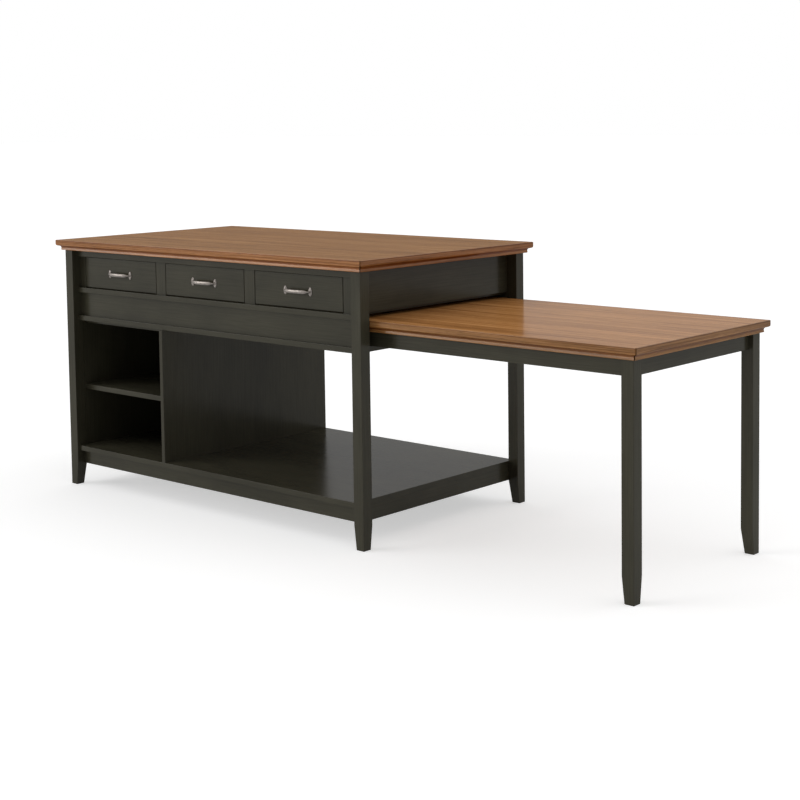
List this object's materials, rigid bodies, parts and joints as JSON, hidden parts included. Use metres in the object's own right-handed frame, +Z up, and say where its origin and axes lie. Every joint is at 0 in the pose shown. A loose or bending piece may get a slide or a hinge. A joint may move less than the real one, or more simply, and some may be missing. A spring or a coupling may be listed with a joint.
{
  "type": "kitchen island unit",
  "caption": "Kitchen island with a wooden worktop, drawers and open shelves in a black frame, and a table that slides out of one end.",
  "frame": {"origin": "on the floor, in the middle of the rectangle that the island covers with its table pulled out", "axes": "+X to the right, the way the table pulls out; +Y to the back, away from the drawers; +Z up"},
  "size_m": [2.503, 0.876, 0.914],
  "materials": {
    "stained_wood": "stained medium brown with a satin lacquer, grain lengthways",
    "black_paint": "satin black paint",
    "bare_wood": "plain sanded, inside only",
    "pewter": "brushed pewter"
  },
  "bodies": {
    "island": {"worktop_board": "stained_wood", "worktop_moulding_front": "stained_wood", "worktop_moulding_right": "stained_wood", "worktop_moulding_back": "stained_wood", "worktop_moulding_left": "stained_wood", "leg_front_left": "black_paint", "leg_front_right": "black_paint", "leg_back_right": "black_paint", "leg_back_left": "black_paint", "front_top_rail": "black_paint", "front_middle_rail": "black_paint", "front_bottom_rail": "black_paint", "front_stile_left": "black_paint", "front_stile_right": "black_paint", "front_mullion_1": "black_paint", "front_mullion_2": "black_paint", "front_apron_panel": "black_paint", "back_top_rail": "black_paint", "back_bottom_rail": "black_paint", "back_panel": "black_paint", "left_side_panel": "black_paint", "right_end_panel": "black_paint", "table_slot_rail": "black_paint", "lower_shelf": "black_paint", "lower_apron_front": "black_paint", "lower_apron_back": "black_paint", "lower_apron_right": "black_paint", "divider": "black_paint", "middle_shelf": "black_paint", "cubby_back": "black_paint", "cubby_top": "black_paint", "dust_panel": "black_paint", "table_runner_front": "bare_wood", "table_runner_back": "bare_wood", "drawer_guide_left": "bare_wood", "drawer_guide_middle": "bare_wood", "drawer_guide_right": "bare_wood"},
    "table": {"table_board": "stained_wood", "table_moulding_front": "stained_wood", "table_moulding_end": "stained_wood", "table_moulding_back": "stained_wood", "table_leg_front": "black_paint", "table_leg_back": "black_paint", "table_apron_front": "black_paint", "table_apron_back": "black_paint", "table_apron_end": "black_paint", "table_stop_rail": "bare_wood", "table_inner_rail": "bare_wood"},
    "drawer_left": {"drawer_left_front": "black_paint", "drawer_left_box": "bare_wood", "drawer_left_bottom": "bare_wood", "drawer_left_pull": "pewter"},
    "drawer_middle": {"drawer_middle_front": "black_paint", "drawer_middle_box": "bare_wood", "drawer_middle_bottom": "bare_wood", "drawer_middle_pull": "pewter"},
    "drawer_right": {"drawer_right_front": "black_paint", "drawer_right_box": "bare_wood", "drawer_right_bottom": "bare_wood", "drawer_right_pull": "pewter"}
  },
  "joints": [
    {"name": "table_slide", "type": "slide", "parent": "island", "child": "table", "axis": [1, 0, 0], "range_m": [-0.954, 0]},
    {"name": "drawer_left_slide", "type": "slide", "parent": "island", "child": "drawer_left", "axis": [0, -1, 0], "range_m": [0, 0.28]},
    {"name": "drawer_middle_slide", "type": "slide", "parent": "island", "child": "drawer_middle", "axis": [0, -1, 0], "range_m": [0, 0.28]},
    {"name": "drawer_right_slide", "type": "slide", "parent": "island", "child": "drawer_right", "axis": [0, -1, 0], "range_m": [0, 0.28]}
  ]
}
